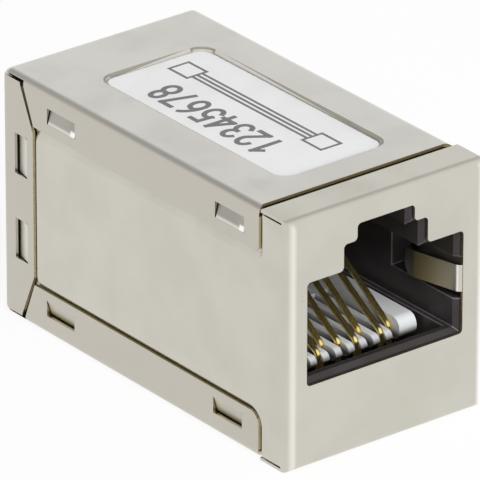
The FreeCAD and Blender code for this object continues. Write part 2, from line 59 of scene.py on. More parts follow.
MM = 0.001
Span = tuple[float, float]
Spot = tuple[float, float]
Point = tuple[float, float, float]
Colour = tuple[float, float, float]
Material = bpy.types.Material
Moulding = tuple[Material, Material]
NodeSocket = bpy.types.NodeSocket
Feed = Union[NodeSocket, float, Colour, tuple[float, float, float, float]]

UNIT: Span = (0.0, 1.0)
TWICE: Span = (0.0, 2.0)
MIDDLE: Span = (0.3, 0.7)
NARROW: Span = (0.35, 0.65)

# Places of the factor, the two colours and the colour result on a Mix node
MIX_INPUTS = (0, 6, 7)
MIX_OUTPUT = 2


class PortEnd(Enum):
    """The two ends of the coupler that carry a socket."""

    FRONT = "front"
    REAR = "rear"


class SheetNode(Enum):
    """The two folded sheets of the case."""

    FRONT = "front_shell"
    REAR = "rear_shell"


class SheetSlot(IntEnum):
    """Material slots of a sheet, in the order in which they are filled."""

    PLATE = 0
    CUT = 1
    PRESSED = 2
    FINGER = 3
    BRINK = 4
    RUBBED = 5
    SHADED = 6


class HousingSlot(IntEnum):
    """Material slots of a housing, in the order in which they are filled."""

    BODY = 0
    EDGE = 1


def rgba(colour: Colour) -> tuple[float, float, float, float]:
    """Gives a colour an alpha of one."""
    return (*colour, 1.0)


# Node graphs
@dataclass(frozen=True)
class Grain:
    """A noise field: cells in a metre, octaves, and the weight of the finer ones."""

    scale: Feed
    detail: float = 2.0
    rough: float = 0.5


class Graph:
    """Short calls for building one node tree."""

    def __init__(self, tree: bpy.types.NodeTree) -> None:
        """Starts on an emptied tree."""
        self.tree = tree
        tree.nodes.clear()

    def node(self, kind: str, **settings: object) -> bpy.types.Node:
        """Adds a node.

        Args:
            kind: the node's type name.
            settings: properties to set on it.

        Returns:
            The new node.
        """
        made = self.tree.nodes.new(kind)
        for name, value in settings.items():
            setattr(made, name, value)
        return made

    def feed(self, socket: NodeSocket, value: Feed) -> None:
        """Links a socket or sets its value.

        Args:
            socket: the input.
            value: another node's output, or a plain value.
        """
        if isinstance(value, NodeSocket):
            self.tree.links.new(value, socket)
        elif socket.type == "RGBA" and len(value) == 3:
            socket.default_value = rgba(value)
        else:
            socket.default_value = value

    def fill(self, node: bpy.types.Node, values: dict[str, Feed]) -> None:
        """Feeds the inputs of a node by their names."""
        for name, value in values.items():
            self.feed(node.inputs[name], value)

    def use(self, tree: bpy.types.NodeTree, **values: Feed) -> bpy.types.Node:
        """Places a shared group.

        Args:
            tree: the group.
            values: what each of its inputs gets.

        Returns:
            The group's node.
        """
        made = self.node("ShaderNodeGroup", node_tree=tree)
        self.fill(made, values)
        return made

    def end(self, kind: str, surface: NodeSocket) -> None:
        """Ends the tree in an output node of the given type."""
        self.feed(self.node(kind).inputs["Surface"], surface)

    def math(self, operation: str, a: Feed, b: Feed = 0.0) -> NodeSocket:
        """Adds a Math node.

        Args:
            operation: the node's operation.
            a: first operand.
            b: second operand.

        Returns:
            The result.
        """
        made = self.node("ShaderNodeMath", operation=operation)
        self.feed(made.inputs[0], a)
        self.feed(made.inputs[1], b)
        return made.outputs[0]

    def spread(self, value: Feed, band: Span, to: Span = UNIT) -> NodeSocket:
        """Maps a band of values smoothly on to another.

        Args:
            value: what to map.
            band: start and end of the old band.
            to: start and end of the new one.

        Returns:
            The mapped value.
        """
        made = self.node("ShaderNodeMapRange", interpolation_type="SMOOTHSTEP")
        ends = dict(zip(("From Min", "From Max", "To Min", "To Max"), band + to))
        self.fill(made, {"Value": value, **ends})
        return made.outputs["Result"]

    def noise(self, vector: Feed, grain: Grain) -> NodeSocket:
        """Adds a noise field.

        Args:
            vector: coordinates.
            grain: what the field is like.

        Returns:
            The field, about 0 to 1.
        """
        made = self.node("ShaderNodeTexNoise")
        self.fill(made, {"Vector": vector, "Scale": grain.scale})
        self.fill(made, {"Detail": grain.detail, "Roughness": grain.rough})
        return made.outputs["Fac"]

    def tint(self, factor: Feed, a: Feed, b: Feed) -> NodeSocket:
        """Mixes two colours.

        Args:
            factor: share of the second.
            a: first colour.
            b: second colour.

        Returns:
            The mixed colour.
        """
        made = self.node("ShaderNodeMix", data_type="RGBA")
        for number, value in zip(MIX_INPUTS, (factor, a, b)):
            self.feed(made.inputs[number], value)
        return made.outputs[MIX_OUTPUT]

    def either(self, factor: Feed, a: NodeSocket, b: NodeSocket) -> NodeSocket:
        """Mixes two shaders.

        Args:
            factor: share of the second.
            a: first shader.
            b: second shader.

        Returns:
            The mixed shader.
        """
        made = self.node("ShaderNodeMixShader")
        for socket, value in zip(made.inputs, (factor, a, b)):
            self.feed(socket, value)
        return made.outputs["Shader"]

    def place(self) -> NodeSocket:
        """Gives the piece's own Object coordinates, in metres."""
        return self.node("ShaderNodeTexCoord").outputs["Object"]

    def split(self, vector: Feed) -> tuple[NodeSocket, ...]:
        """Parts coordinates.

        Args:
            vector: coordinates.

        Returns:
            X, Y and Z.
        """
        made = self.node("ShaderNodeSeparateXYZ")
        self.feed(made.inputs["Vector"], vector)
        return tuple(made.outputs)

    def stretched(self, vector: Feed, scale: Point) -> NodeSocket:
        """Scales coordinates along the three axes.

        Args:
            vector: coordinates.
            scale: factors along X, Y and Z.

        Returns:
            The scaled coordinates.
        """
        made = self.node("ShaderNodeMapping")
        self.fill(made, {"Vector": vector, "Scale": scale})
        return made.outputs["Vector"]

    def bump(self, height: Feed, distance: float) -> NodeSocket:
        """Turns a height into a normal.

        Args:
            height: relief from 0 to 1.
            distance: depth of that relief in metres.

        Returns:
            The normal.
        """
        made = self.node("ShaderNodeBump")
        self.fill(made, {"Height": height, "Distance": distance, "Strength": 1.0})
        return made.outputs["Normal"]


@dataclass
class Groups:
    """Shader node groups that several finishes share, each built once."""

    fine: Grain = Grain(26000.0, 3.0, 0.6)
    broad: Grain = Grain(5200.0)
    fine_share: float = 0.6
    cloud: Grain = Grain(240.0, 3.0, 0.55)
    speck_size: Span = (0.05, 0.02)
    sparse: Grain = Grain(330.0, 0.0)
    sparse_band: Span = (0.58, 0.64)
    smear: Grain = Grain(420.0, 4.0, 0.6)
    smear_band: Span = (0.52, 0.72)
    pit_detail: float = 3.0
    pit_rough: float = 0.6
    swell: Grain = Grain(500.0)

    def start(
        self, name: str, ins: dict[str, str], outs: tuple[str, ...]
    ) -> tuple[Graph, bpy.types.NodeOutputs, bpy.types.NodeInputs]:
        """Makes an empty group with its sockets.

        Args:
            name: the group's name.
            ins: socket type of each input, by its name.
            outs: name of each value that it puts out.

        Returns:
            The graph, what it is given and what it puts out.
        """
        tree = bpy.data.node_groups.new(name, "ShaderNodeTree")
        for label, kind in ins.items():
            tree.interface.new_socket(name=label, in_out="INPUT", socket_type=kind)
        for label in outs:
            tree.interface.new_socket(name=label, in_out="OUTPUT", socket_type="NodeSocketFloat")
        graph = Graph(tree)
        return graph, graph.node("NodeGroupInput").outputs, graph.node("NodeGroupOutput").inputs

    @cached_property
    def rolled(self) -> bpy.types.NodeTree:
        """Rolled sheet: fine lines over soft clouds.

        Returns:
            The group, with a height of lines and a shade of clouds, both 0 to 1.
        """
        ins = {"Lines": "NodeSocketVector", "Place": "NodeSocketVector"}
        graph, given, put = self.start("rolled_sheet", ins, ("Height", "Shade"))
        fine = graph.math("MULTIPLY", graph.noise(given["Lines"], self.fine), self.fine_share)
        broad = graph.math("MULTIPLY", graph.noise(given["Lines"], self.broad), 1.0 - self.fine_share)
        graph.feed(put["Height"], graph.math("ADD", fine, broad))
        graph.feed(put["Shade"], graph.spread(graph.noise(given["Place"], self.cloud), MIDDLE))
        return graph.tree

    @cached_property
    def marks(self) -> bpy.types.NodeTree:
        """Handling marks: a few specks and faint smudges.

        Returns:
            The group, with a speck mask and a smudge mask.
        """
        ins = {"Place": "NodeSocketVector", "Density": "NodeSocketFloat"}
        graph, given, put = self.start("handling_marks", ins, ("Speck", "Smudge"))
        cells = graph.node("ShaderNodeTexVoronoi")
        graph.fill(cells, {"Vector": given["Place"], "Scale": given["Density"]})
        near = graph.spread(cells.outputs["Distance"], self.speck_size)
        sparse = graph.spread(graph.noise(given["Place"], self.sparse), self.sparse_band)
        graph.feed(put["Speck"], graph.math("MULTIPLY", near, sparse))
        smear = graph.noise(given["Place"], self.smear)
        graph.feed(put["Smudge"], graph.spread(smear, self.smear_band))
        return graph.tree

    @cached_property
    def moulded(self) -> bpy.types.NodeTree:
        """Moulded skin: fine pits over a slow swell.

        Returns:
            The group, with a height of pits and a shade of the swell.
        """
        ins = {"Place": "NodeSocketVector", "Grain": "NodeSocketFloat"}
        graph, given, put = self.start("moulded_skin", ins, ("Height", "Shade"))
        pits = Grain(given["Grain"], self.pit_detail, self.pit_rough)
        graph.feed(put["Height"], graph.noise(given["Place"], pits))
        graph.feed(put["Shade"], graph.spread(graph.noise(given["Place"], self.swell), MIDDLE))
        return graph.tree


GROUPS = Groups()


# Finishes
@dataclass(frozen=True)
class Finish:
    """What every finish has: a name and a shader."""

    name: str

    def begin(self) -> tuple[Material, Graph, bpy.types.Node]:
        """Starts a material.

        Returns:
            The material, its graph and its Principled shader.
        """
        material = bpy.data.materials.new(self.name)
        material.use_nodes = True
        graph = Graph(material.node_tree)
        shader = graph.node("ShaderNodeBsdfPrincipled")
        graph.end("ShaderNodeOutputMaterial", shader.outputs["BSDF"])
        return material, graph, shader


@dataclass(frozen=True)
class SheetFinish(Finish):
    """Satin nickel plate on rolled sheet."""

    pale: Colour = (0.63, 0.61, 0.545)
    dull: Colour = (0.60, 0.58, 0.51)
    speck: Colour = (0.22, 0.2, 0.16)
    speck_share: float = 0.5
    density: float = 900.0
    roughness: Span = (0.3, 0.38)
    relief: float = 0.6e-6
    rolling: Point = (1.0, 0.06, 1.0)

    def base(self, graph: Graph, place: Feed, shade: Feed) -> NodeSocket:
        """Mixes the plate's colour by a shade of clouds from 0 to 1."""
        return graph.tint(shade, self.pale, self.dull)

    def material(self) -> Material:
        """Builds the plate.

        Returns:
            The material.
        """
        material, graph, shader = self.begin()
        place = graph.place()
        lines = graph.stretched(place, self.rolling)
        sheet = graph.use(GROUPS.rolled, Lines=lines, Place=place).outputs
        marks = graph.use(GROUPS.marks, Place=place, Density=self.density).outputs
        speck = graph.math("MULTIPLY", marks["Speck"], self.speck_share)
        blur = graph.math("ADD", sheet["Shade"], marks["Smudge"])
        graph.fill(shader, {
            "Base Color": graph.tint(speck, self.base(graph, place, sheet["Shade"]), self.speck),
            "Metallic": 1.0,
            "Roughness": graph.spread(blur, TWICE, self.roughness),
            "Normal": graph.bump(sheet["Height"], self.relief),
        })
        return material


@dataclass(frozen=True)
class WrapFinish(SheetFinish):
    """Plate with painted shade where the sheet folds down the sides."""

    flank_shade: Colour = (0.56, 0.53, 0.465)
    flank_shade_band: Span = (7.3 * MM, 7.8 * MM)

    def base(self, graph: Graph, place: Feed, shade: Feed) -> NodeSocket:
        """Mixes the plate's colour with painted shade on its flanks.

        Args:
            graph: the material's graph.
            place: Object coordinates.
            shade: clouds from 0 to 1.

        Returns:
            The colour.
        """
        side = graph.math("ABSOLUTE", graph.split(place)[0])
        plate = super().base(graph, place, shade)
        # Painted shade on the flanks.
        return graph.tint(graph.spread(side, self.flank_shade_band), plate, self.flank_shade)


@dataclass(frozen=True)
class BendHighlightFinish(SheetFinish):
    """Plate with a painted highlight on the two upright bends of the front."""

    bend_highlight: Colour = (0.86, 0.84, 0.78)
    side_band: Span = (7.15 * MM, 7.5 * MM)
    front_band: Span = (-14.6 * MM, -14.95 * MM)

    def base(self, graph: Graph, place: Feed, shade: Feed) -> NodeSocket:
        """Mixes the plate's colour with a painted highlight on its bends.

        Args:
            graph: the material's graph.
            place: Object coordinates.
            shade: clouds from 0 to 1.

        Returns:
            The colour.
        """
        x, y, _ = graph.split(place)
        side = graph.spread(graph.math("ABSOLUTE", x), self.side_band)
        # Painted highlight on the upright front bends.
        highlit = graph.math("MULTIPLY", side, graph.spread(y, self.front_band))
        return graph.tint(highlit, super().base(graph, place, shade), self.bend_highlight)


@dataclass(frozen=True)
class LanceFinish(SheetFinish):
    """Pressed tab, with a painted highlight along its lower hinge and a painted glint at the hinge's
    front end.
    """

    hinge_highlight: Colour = (0.72, 0.7, 0.65)
    glint: Colour = (1.0, 1.0, 0.97)
    hinge_highlight_band: Span = (15.42 * MM, 15.22 * MM)
    glint_band: Span = (-1.0 * MM, -1.2 * MM)
    glint_rise: Span = (15.58 * MM, 15.4 * MM)
    apart: float = 17.5 * MM

    def base(self, graph: Graph, place: Feed, shade: Feed) -> NodeSocket:
        """Mixes the tab's colour with its painted hinge highlight and painted glint, the same on tabs
        that lie apart along Y.

        Args:
            graph: the material's graph.
            place: Object coordinates.
            shade: clouds from 0 to 1.

        Returns:
            The colour.
        """
        _, y, z = graph.split(place)
        turn = graph.math("MODULO", graph.math("ADD", y, self.apart), self.apart)
        along = graph.math("SUBTRACT", turn, self.apart / 2)
        # Painted highlight along the lower hinge.
        low = graph.spread(z, self.hinge_highlight_band)
        colour = graph.tint(low, super().base(graph, place, shade), self.hinge_highlight)
        # Painted glint at the front end of the hinge.
        rise = graph.spread(z, self.glint_rise)
        corner = graph.math("MULTIPLY", rise, graph.spread(along, self.glint_band))
        return graph.tint(corner, colour, self.glint)


@dataclass(frozen=True)
class FingerFinish(SheetFinish):
    """Ground finger, with painted light at the mouth and painted shade deep in the socket."""

    mouth_highlight: Colour = (0.88, 0.865, 0.83)
    depth_band: Span = (11.2 * MM, 14.6 * MM)

    def base(self, graph: Graph, place: Feed, shade: Feed) -> NodeSocket:
        """Mixes the finger's colour, painted shade deep in the socket, into painted light at its root
        by the mouth.

        Args:
            graph: the material's graph.
            place: Object coordinates.
            shade: clouds from 0 to 1.

        Returns:
            The colour.
        """
        depth = graph.math("ABSOLUTE", graph.split(place)[1])
        plate = super().base(graph, place, shade)
        # Painted light at the mouth over painted shade deeper in.
        return graph.tint(graph.spread(depth, self.depth_band), plate, self.mouth_highlight)


@dataclass(frozen=True)
class CutEdgeFinish(Finish):
    """Bare brass where the plated sheet was cut."""

    light: Colour = (0.78, 0.69, 0.46)
    dark: Colour = (0.6, 0.51, 0.32)
    shear: Grain = Grain(9000.0, 3.0, 0.6)
    density: float = 2500.0
    roughness: Span = (0.38, 0.5)
    relief: float = 3e-6

    def material(self) -> Material:
        """Builds the cut edge.

        Returns:
            The material.
        """
        material, graph, shader = self.begin()
        place = graph.place()
        marks = graph.use(GROUPS.marks, Place=place, Density=self.density).outputs
        shear = graph.noise(place, self.shear)
        graph.fill(shader, {
            "Base Color": graph.tint(graph.spread(shear, NARROW), self.light, self.dark),
            "Metallic": 1.0,
            "Roughness": graph.spread(marks["Smudge"], UNIT, self.roughness),
            "Normal": graph.bump(shear, self.relief),
        })
        return material


@dataclass(frozen=True)
class PlasticFinish(Finish):
    """Moulded plastic, black as it stands."""

    pale: Colour = (0.038, 0.0335, 0.033)
    dark: Colour = (0.031, 0.027, 0.0265)
    roughness: Span = (0.32, 0.42)
    grain: float = 14000.0
    relief: float = 1.5e-6
    gloss: float = 0.2
    foot: Colour = (0.031, 0.027, 0.0265)
    underside_shade_band: Span = (0.5 * MM, 0.4 * MM)

    def material(self) -> Material:
        """Builds the plastic, which turns to its foot colour low down; on the white comb that is
        painted shade under the nose.

        Returns:
            The material.
        """
        material, graph, shader = self.begin()
        place = graph.place()
        skin = graph.use(GROUPS.moulded, Place=place, Grain=self.grain).outputs
        # Darker low down; on the comb this is painted shade under its nose.
        low = graph.spread(graph.split(place)[2], self.underside_shade_band)
        graph.fill(shader, {
            "Base Color": graph.tint(low, graph.tint(skin["Shade"], self.pale, self.dark), self.foot),
            "Roughness": graph.spread(skin["Shade"], UNIT, self.roughness),
            "Specular IOR Level": self.gloss,
            "Normal": graph.bump(skin["Height"], self.relief),
        })
        return material


@dataclass(frozen=True)
class PaperFinish(Finish):
    """White label stock with faint fibre."""

    white: Colour = (0.8, 0.805, 0.8)
    shade: Colour = (0.77, 0.775, 0.77)
    cloud: Grain = Grain(300.0)
    fibre: Grain = Grain(9000.0, 4.0, 0.65)
    fibre_way: Point = (1.0, 0.35, 1.0)
    roughness: Span = (0.5, 0.62)
    relief: float = 2e-6

    def material(self) -> Material:
        """Builds the paper.

        Returns:
            The material.
        """
        material, graph, shader = self.begin()
        place = graph.place()
        fibre = graph.noise(graph.stretched(place, self.fibre_way), self.fibre)
        cloud = graph.spread(graph.noise(place, self.cloud), NARROW)
        graph.fill(shader, {
            "Base Color": graph.tint(cloud, self.white, self.shade),
            "Roughness": graph.spread(fibre, MIDDLE, self.roughness),
            "Normal": graph.bump(fibre, self.relief),
        })
        return material


@dataclass(frozen=True)
class InkFinish(Finish):
    """Dark grey print, thin enough to show a little paper."""

    full: Colour = (0.14, 0.14, 0.145)
    thin: Colour = (0.19, 0.19, 0.195)
    cover: Grain = Grain(5000.0, 3.0, 0.6)
    cover_band: Span = (0.45, 0.7)
    roughness: Span = (0.5, 0.6)

    def material(self) -> Material:
        """Builds the ink.

        Returns:
            The material.
        """
        material, graph, shader = self.begin()
        cover = graph.noise(graph.place(), self.cover)
        graph.fill(shader, {
            "Base Color": graph.tint(graph.spread(cover, self.cover_band), self.full, self.thin),
            "Roughness": graph.spread(cover, MIDDLE, self.roughness),
        })
        return material


@dataclass(frozen=True)
class BoardFinish(Finish):
    """Dark brown solder mask over copper runs."""

    mask: Colour = (0.022, 0.017, 0.014)
    run: Colour = (0.035, 0.027, 0.02)
    run_scale: float = 156.6
    run_band: Span = (0.6, 0.7)
    weave: Grain = Grain(6000.0)
    roughness: Span = (0.3, 0.4)
    relief: float = 1e-5

    def material(self) -> Material:
        """Builds the board.

        Returns:
            The material.
        """
        material, graph, shader = self.begin()
        place = graph.place()
        wave = graph.node("ShaderNodeTexWave", bands_direction="X")
        graph.fill(wave, {"Vector": place, "Scale": self.run_scale, "Distortion": 0.0})
        runs = graph.spread(wave.outputs["Fac"], self.run_band)
        weave = graph.noise(place, self.weave)
        graph.fill(shader, {
            "Base Color": graph.tint(runs, self.mask, self.run),
            "Roughness": graph.spread(weave, MIDDLE, self.roughness),
            "Normal": graph.bump(runs, self.relief),
        })
        return material


@dataclass(frozen=True)
class WireFinish(Finish):
    """Polished gold plate on drawn wire."""

    bright: Colour = (1.0, 0.83, 0.36)
    deep: Colour = (0.96, 0.73, 0.26)
    metal: float = 0.97
    tone: Grain = Grain(700.0)
    drawn: Grain = Grain(20000.0)
    drawn_way: Point = (1.0, 0.1, 0.1)
    roughness: Span = (0.2, 0.28)
    relief: float = 0.08e-6

    def material(self) -> Material:
        """Builds the plate.

        Returns:
            The material.
        """
        material, graph, shader = self.begin()
        place = graph.place()
        drawn = graph.noise(graph.stretched(place, self.drawn_way), self.drawn)
        tone = graph.noise(place, self.tone)
        graph.fill(shader, {
            "Base Color": graph.tint(graph.spread(tone, NARROW), self.bright, self.deep),
            "Metallic": self.metal,
            "Roughness": graph.spread(tone, MIDDLE, self.roughness),
            "Normal": graph.bump(drawn, self.relief),
        })
        return material


# Mesh helpers
def paint(node: str, *materials: Material) -> bpy.types.Object:
    """Puts materials on a CAD node's slots.

    Args:
        node: the node's name.
        materials: one for each slot, the first for every face.

    Returns:
        The node's object.
    """
    piece = frame["nodes"][node]
    piece.data.materials.clear()
    for material in materials:
        piece.data.materials.append(material)
    log.info("dressed %s", node)
    return piece


def faces_of(piece: bpy.types.Object) -> tuple[np.ndarray, np.ndarray]:
    """Reads the middle and normal of every face.

    Args:
        piece: a mesh object.

    Returns:
        Middles in millimetres and unit normals, one row a face.
    """
    polygons = piece.data.polygons
    middle = np.empty(len(polygons) * 3, np.float32)
    normal = np.empty(len(polygons) * 3, np.float32)
    polygons.foreach_get("center", middle)
    polygons.foreach_get("normal", normal)
    return middle.reshape(-1, 3) / MM, normal.reshape(-1, 3)


def add_piece(name: str, points: np.ndarray, faces: np.ndarray, material: Material) -> None:
    """Makes a mesh object that rides on the coupler.

    Args:
        name: the piece's name.
        points: vertices in millimetres.
        faces: four vertex numbers a row.
        material: its finish.
    """
    mesh = bpy.data.meshes.new(name)
    mesh.from_pydata((points * MM).tolist(), [], faces.tolist())
    mesh.materials.append(material)
    mesh.update()
    piece = bpy.data.objects.new(name, mesh)
    bpy.context.scene.collection.objects.link(piece)
    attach(piece, "root")
    log.info("built %s with %d faces", name, len(faces))


# Case
@dataclass
class Case:
    """The two folded sheets, whose cut edges show bare metal.

    Lengths are in millimetres. The four turns and the tilt are shares of a
    face's unit normal along an axis.
    """

    half: float = 7.85
    height: float = 17.4
    end: float = 15.0
    gauge: float = 0.2
    bend: float = 0.6
    panel_front: float = -11.9
    set_back: float = 0.35
    lance_y: float = 8.75
    lance_half: float = 1.7
    lance_top: float = 15.7
    lance_low: float = 1.95
    lance_rear: float = 12.9
    lance_z: float = 6.0
    lance_deep: float = 0.6
    port_half: float = 6.7
    port_low: float = 5.7
    port_high: float = 16.1
    recess_half: float = 6.0
    recess_long: float = 11.0
    finger_low: float = 8.6
    finger_high: float = 10.65
    slack: float = 0.02
    facing_turn: float = 0.5
    rim_turn: float = 0.2
    edge_turn: float = 0.35
    brink_turn: float = 0.97
    tab_tilt: float = 0.15
    # Painted highlight on the front sheet's upright bends.
    sheet: BendHighlightFinish = BendHighlightFinish("nickel_sheet")
    # The wrap's top is painted lighter than the front sheet and its flanks darker: painted light and
    # shade.
    wrap: WrapFinish = WrapFinish(
        "nickel_wrap", pale=(0.685, 0.67, 0.62), dull=(0.66, 0.645, 0.595)
    )
    cut: CutEdgeFinish = CutEdgeFinish("cut_edge")
    # Pressed tabs: darker than the plate.
    pressed: LanceFinish = LanceFinish(
        "pressed_sheet", pale=(0.42, 0.41, 0.37), dull=(0.36, 0.35, 0.31)
    )
    # The finger's dark colours are painted shade deep in the socket.
    finger: FingerFinish = FingerFinish(
        "finger_sheet", pale=(0.28, 0.275, 0.255), dull=(0.23, 0.225, 0.21)
    )
    # The recess's sloped brink is painted darker: painted shade.
    brink: SheetFinish = SheetFinish(
        "brink_shade_sheet", pale=(0.44, 0.42, 0.36), dull=(0.4, 0.38, 0.32), roughness=(0.5, 0.6)
    )
    # Rear tabs painted lighter: a painted highlight.
    highlit: SheetFinish = SheetFinish(
        "highlit_tab_sheet", pale=(0.74, 0.73, 0.68), dull=(0.7, 0.69, 0.64)
    )
    shaded: CutEdgeFinish = CutEdgeFinish(
        "shaded_edge", light=(0.46, 0.39, 0.22), dark=(0.33, 0.275, 0.15)
    )

    def rim(self, middle: np.ndarray, normal: np.ndarray) -> np.ndarray:
        """Marks the sheet's thickness round the sockets.

        Args:
            middle: face middles.
            normal: face normals.

        Returns:
            True for each such face.
        """
        plate = np.abs(middle[:, 1]) > self.end - self.gauge - self.slack
        hole = np.abs(middle[:, 0]) < self.port_half
        hole &= (middle[:, 2] > self.port_low) & (middle[:, 2] < self.port_high)
        return plate & hole & (np.abs(normal[:, 1]) < self.rim_turn)

    def fingers(self, middle: np.ndarray) -> np.ndarray:
        """Marks the ground fingers inside the sockets.

        Args:
            middle: face middles.

        Returns:
            True for each such face.
        """
        inside = np.abs(middle[:, 0]) < self.port_half
        inside &= np.abs(middle[:, 1]) < self.end - self.gauge - self.slack
        return inside & (middle[:, 2] > self.finger_low) & (middle[:, 2] < self.finger_high)

    def lances(self, middle: np.ndarray) -> tuple[np.ndarray, np.ndarray]:
        """Marks the faces that lie in the lance windows of the side flaps.

        Args:
            middle: face middles.

        Returns:
            True for each face in an upper or rear window, and in a lower one.
        """
        side = np.abs(middle[:, 0]) > self.half - self.lance_deep
        along = np.abs(np.abs(middle[:, 1]) - self.lance_y) < self.lance_half
        upper = along & (np.abs(middle[:, 2] - self.lance_top) < self.lance_half / 2)
        lower = along & (np.abs(middle[:, 2] - self.lance_low) < self.lance_half / 2)
        rear = np.abs(middle[:, 1] - self.lance_rear) < self.lance_half / 2
        rear &= np.abs(middle[:, 2] - self.height / 2) < self.lance_z
        return side & (upper | rear), side & lower

    def flap_edges(self, middle: np.ndarray, normal: np.ndarray) -> np.ndarray:
        """Marks the bare cut edges of the rear sheet: flaps, lower lances and front ends.

        Args:
            middle: face middles.
            normal: face normals.

        Returns:
            True for each such face.
        """
        plated, bare = self.lances(middle)
        across = np.abs(normal[:, 0]) < self.edge_turn
        flap = np.abs(middle[:, 0]) > self.half - self.gauge - self.slack
        inside = (middle[:, 2] > self.bend) & (middle[:, 2] < self.height - self.bend)
        before = middle[:, 1] < self.end - self.bend
        under = (normal[:, 2] < -self.facing_turn) & (middle[:, 2] > self.height / 2)
        edges = flap & across & before & inside & ~under & ~plated
        ends = middle[:, 1] < self.panel_front + self.set_back + self.slack
        ends &= normal[:, 1] < -self.facing_turn
        return edges | ends | (bare & across)

    def level(self, middle: np.ndarray, normal: np.ndarray) -> np.ndarray:
        """Marks the faces that lie along level seams, which take painted shade.

        Args:
            middle: face middles.
            normal: face normals.

        Returns:
            True for each such face.
        """
        _, lower = self.lances(middle)
        across = normal[:, 1] < -self.facing_turn
        across &= np.abs(middle[:, 0]) < self.half - self.bend
        return ~lower & (across | (normal[:, 2] > self.facing_turn))

    def tabs(self, middle: np.ndarray, normal: np.ndarray) -> tuple[np.ndarray, np.ndarray]:
        """Marks the tilted faces of the lances.

        Args:
            middle: face middles.
            normal: face normals.

        Returns:
            True for each face of an upper tab, and of a rear one.
        """
        plated, _ = self.lances(middle)
        plated &= np.abs(normal[:, 0]) > self.facing_turn
        upper = normal[:, 2] > self.tab_tilt
        rear = np.abs(normal[:, 1]) > self.tab_tilt
        return plated & upper, plated & rear

    def recess(self, middle: np.ndarray, normal: np.ndarray) -> np.ndarray:
        """Marks the sloped brink of the label's recess.

        Args:
            middle: face middles.
            normal: face normals.

        Returns:
            True for each such face.
        """
        near = np.abs(middle[:, 0]) < self.recess_half
        near &= np.abs(middle[:, 1]) < self.recess_long
        near &= middle[:, 2] > self.height - self.gauge
        return near & (normal[:, 2] < self.brink_turn)

    def slots(self, sheet: SheetNode, middle: np.ndarray, normal: np.ndarray) -> np.ndarray:
        """Chooses a material slot for every face of a sheet.

        Args:
            sheet: which of the two.
            middle: face middles.
            normal: face normals.

        Returns:
            One slot number a face.
        """
        slot = np.full(len(middle), SheetSlot.PLATE, np.int32)
        slot[self.rim(middle, normal)] = SheetSlot.CUT
        slot[self.fingers(middle)] = SheetSlot.FINGER
        if sheet is SheetNode.REAR:
            cut = self.flap_edges(middle, normal)
            upper, rear = self.tabs(middle, normal)
            slot[cut] = SheetSlot.CUT
            slot[cut & self.level(middle, normal)] = SheetSlot.SHADED
            slot[upper] = SheetSlot.PRESSED
            slot[self.recess(middle, normal)] = SheetSlot.BRINK
            slot[rear] = SheetSlot.RUBBED
        return slot

    def dress(self) -> None:
        """Paints both sheets, with finishes of their own on cut edges, tabs, fingers and brink, several
        of them painted light and shade.
        """
        plates = {SheetNode.FRONT: self.sheet, SheetNode.REAR: self.wrap}
        spots = (self.cut, self.pressed, self.finger, self.brink, self.highlit, self.shaded)
        shared = [finish.material() for finish in spots]
        for sheet, plate in plates.items():
            piece = paint(sheet.value, plate.material(), *shared)
            slot = self.slots(sheet, *faces_of(piece))
            piece.data.polygons.foreach_set("material_index", slot)
            piece.data.update()


# Label
@dataclass(frozen=True)
class Line:
    """A straight pen stroke."""

    start: Spot
    finish: Spot

    def path(self, count: int) -> np.ndarray:
        """Samples the middle line in even steps from start to finish, one row a point."""
        t = np.linspace(0.0, 1.0, count)
        return np.outer(1 - t, self.start) + np.outer(t, self.finish)


@dataclass(frozen=True)
class Arc:
    """A curved pen stroke: part of an ellipse between two angles in degrees."""

    centre: Spot
    sweep: Span
    radius: Spot

    def path(self, count: int) -> np.ndarray:
        """Samples the middle line.

        The point at angle a is the centre plus the two radii times the
        cosine and the sine of a.

        Args:
            count: points.

        Returns:
            Points, one row each.
        """
        start, finish = self.sweep
        angle = np.radians(start + (finish - start) * np.linspace(0.0, 1.0, count))
        turn = np.column_stack([np.cos(angle), np.sin(angle)])
        return np.array(self.centre) + np.array(self.radius) * turn


FIGURES: dict[str, tuple[Union[Line, Arc], ...]] = {
    "1": (Line((0.1, 0.76), (0.36, 1.0)), Line((0.36, 1.0), (0.36, 0.0))),
    "2": (
        Arc((0.3, 0.71), (165.0, -38.0), (0.27, 0.29)),
        Line((0.51, 0.53), (0.04, 0.0)),
        Line((0.04, 0.0), (0.58, 0.0)),
    ),
    "3": (
        Arc((0.28, 0.755), (155.0, -90.0), (0.25, 0.245)),
        Arc((0.28, 0.255), (90.0, -155.0), (0.28, 0.255)),
    ),
    "4": (
        Line((0.44, 0.0), (0.44, 1.0)),
        Line((0.44, 1.0), (0.0, 0.27)),
        Line((0.0, 0.27), (0.6, 0.27)),
    ),
    "5": (
        Line((0.54, 1.0), (0.12, 1.0)),
        Line((0.12, 1.0), (0.07, 0.52)),
        Arc((0.27, 0.31), (137.0, -150.0), (0.29, 0.31)),
    ),
    "6": (
        Arc((0.3, 0.3), (0.0, 360.0), (0.27, 0.3)),
        Arc((0.66, 0.3), (180.0, 116.0), (0.63, 0.78)),
    ),
    "7": (Line((0.02, 1.0), (0.58, 1.0)), Line((0.58, 1.0), (0.2, 0.0))),
    "8": (
        Arc((0.3, 0.75), (0.0, 360.0), (0.23, 0.25)),
        Arc((0.3, 0.26), (0.0, 360.0), (0.28, 0.26)),
    ),
}


